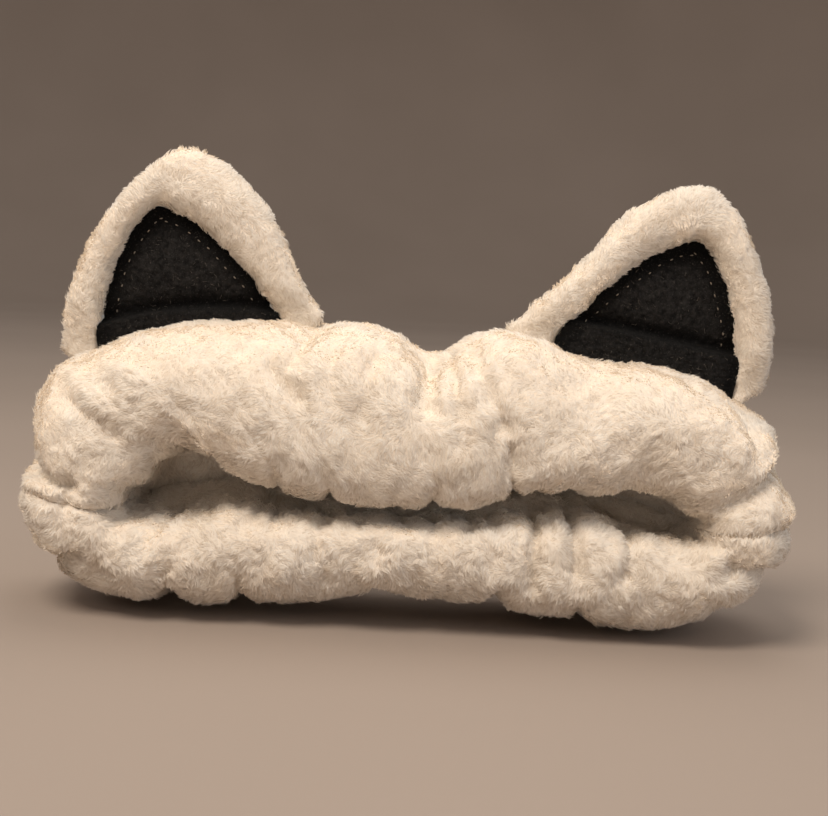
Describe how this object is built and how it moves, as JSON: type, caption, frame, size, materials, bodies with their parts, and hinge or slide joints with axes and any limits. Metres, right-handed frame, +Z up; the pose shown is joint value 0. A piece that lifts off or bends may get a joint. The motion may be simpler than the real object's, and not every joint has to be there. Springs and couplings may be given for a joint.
{
  "type": "animal ears headband",
  "caption": "Plush elastic headband, a gathered fleece loop with two stuffed cat ears that have black felt inside, for holding hair back or dressing up",
  "frame": {"origin": "under the middle of the back strand, on the surface that the loop rests on", "axes": "+X to the right as seen from the front, +Y to the back, +Z up through the ears"},
  "size_m": [0.21, 0.06, 0.1262],
  "materials": {
    "fleece": "coral fleece with a short matted pile",
    "felt": "black needle felt",
    "wadding": "loose polyester fibre",
    "elastic": "woven elastic",
    "thread": "polyester sewing thread"
  },
  "bodies": {
    "back": {"back_sleeve": "fleece", "back_elastic": "elastic", "back_elastic_lap": "elastic", "back_lap_stitches": "thread", "back_tube_seam": "fleece"},
    "front": {"front_sleeve": "fleece", "front_wadding": "wadding", "front_elastic": "elastic", "front_tube_seam": "fleece", "left_side_seam": "thread", "right_side_seam": "thread", "left_ear_base_seam": "thread", "right_ear_base_seam": "thread"},
    "left_ear": {"left_ear_back_panel": "fleece", "left_ear_front_border": "fleece", "left_ear_felt": "felt", "left_ear_wadding": "wadding", "left_ear_topstitch": "thread"},
    "right_ear": {"right_ear_back_panel": "fleece", "right_ear_front_border": "fleece", "right_ear_felt": "felt", "right_ear_wadding": "wadding", "right_ear_topstitch": "thread"}
  },
  "joints": [
    {"name": "band_stretch", "type": "slide", "parent": "back", "child": "front", "axis": [0, 0, 1], "range_m": [0, 0.045], "stiffness_N_per_m": 90, "springref_m": -0.012},
    {"name": "left_ear_fold", "type": "hinge", "parent": "front", "child": "left_ear", "pos_m": [-0.062, 0.006, 0.07507], "axis": [0.9863, 0, 0.165], "range_deg": [-50, 40], "stiffness_Nm_per_rad": 0.03},
    {"name": "right_ear_fold", "type": "hinge", "parent": "front", "child": "right_ear", "pos_m": [0.062, 0.006, 0.07423], "axis": [0.9816, 0, -0.1908], "range_deg": [-50, 40], "stiffness_Nm_per_rad": 0.03}
  ]
}
